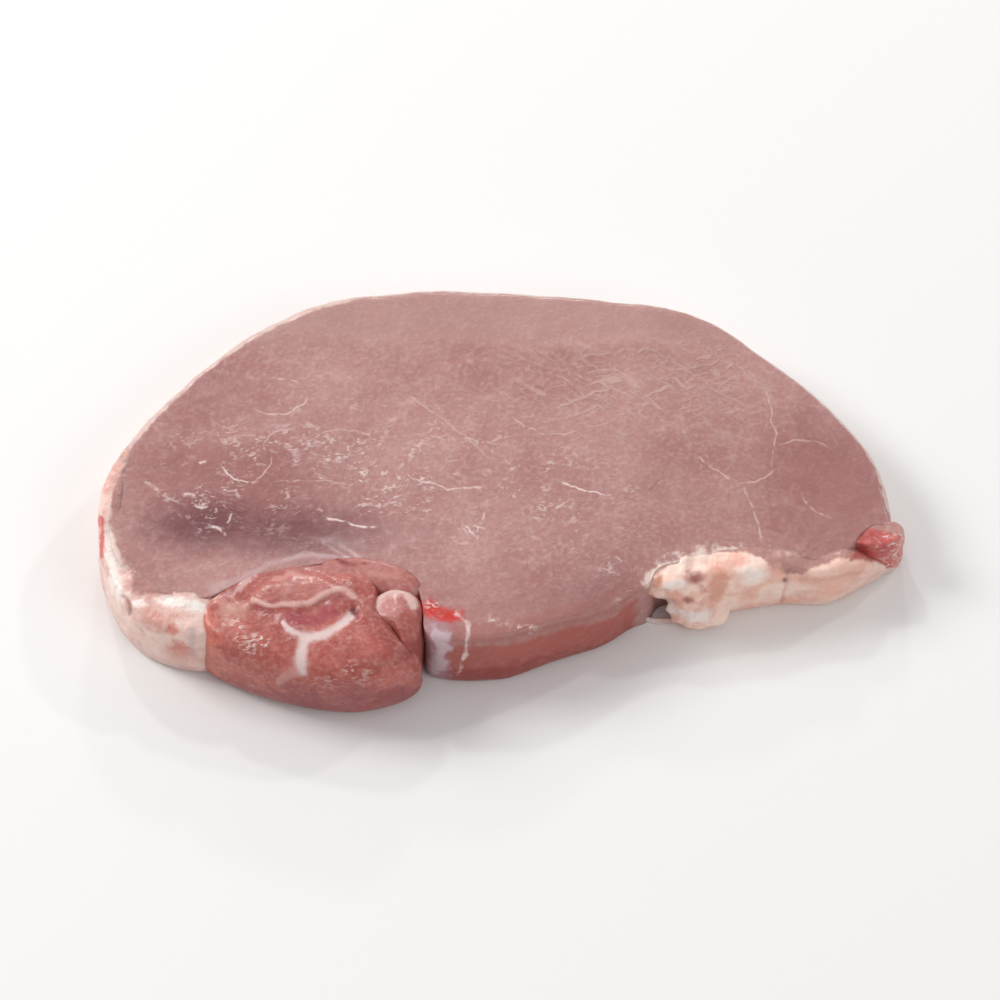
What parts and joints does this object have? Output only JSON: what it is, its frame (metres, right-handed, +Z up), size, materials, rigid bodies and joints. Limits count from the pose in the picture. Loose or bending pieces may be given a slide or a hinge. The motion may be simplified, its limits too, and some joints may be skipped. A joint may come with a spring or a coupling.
{
  "type": "raw pork loin steak",
  "caption": "Raw boneless pork loin steak lying flat: a pale pink eye muscle with a darker side muscle and strips of white fat along its edge.",
  "frame": {"origin": "under the middle of the steak's bounding box, on the surface it lies on", "axes": "+X along the steak towards its pointed end, -Y towards the edge with the side muscle, +Z up out of the shown cut face"},
  "size_m": [0.119, 0.0686, 0.0134],
  "materials": {
    "eye_meat": "moist cut muscle, pale greyish pink",
    "side_meat": "moist cut muscle, darker red pink with white marbling",
    "fat": "soft white to pale pink fat, slightly moist",
    "red_meat": "moist deep red muscle"
  },
  "bodies": {
    "root": {"eye_muscle": "eye_meat", "side_muscle": "side_meat", "side_lobe": "side_meat", "seam_band": "side_meat", "left_fat": "fat", "right_fat": "fat", "end_tip": "red_meat"}
  },
  "joints": []
}
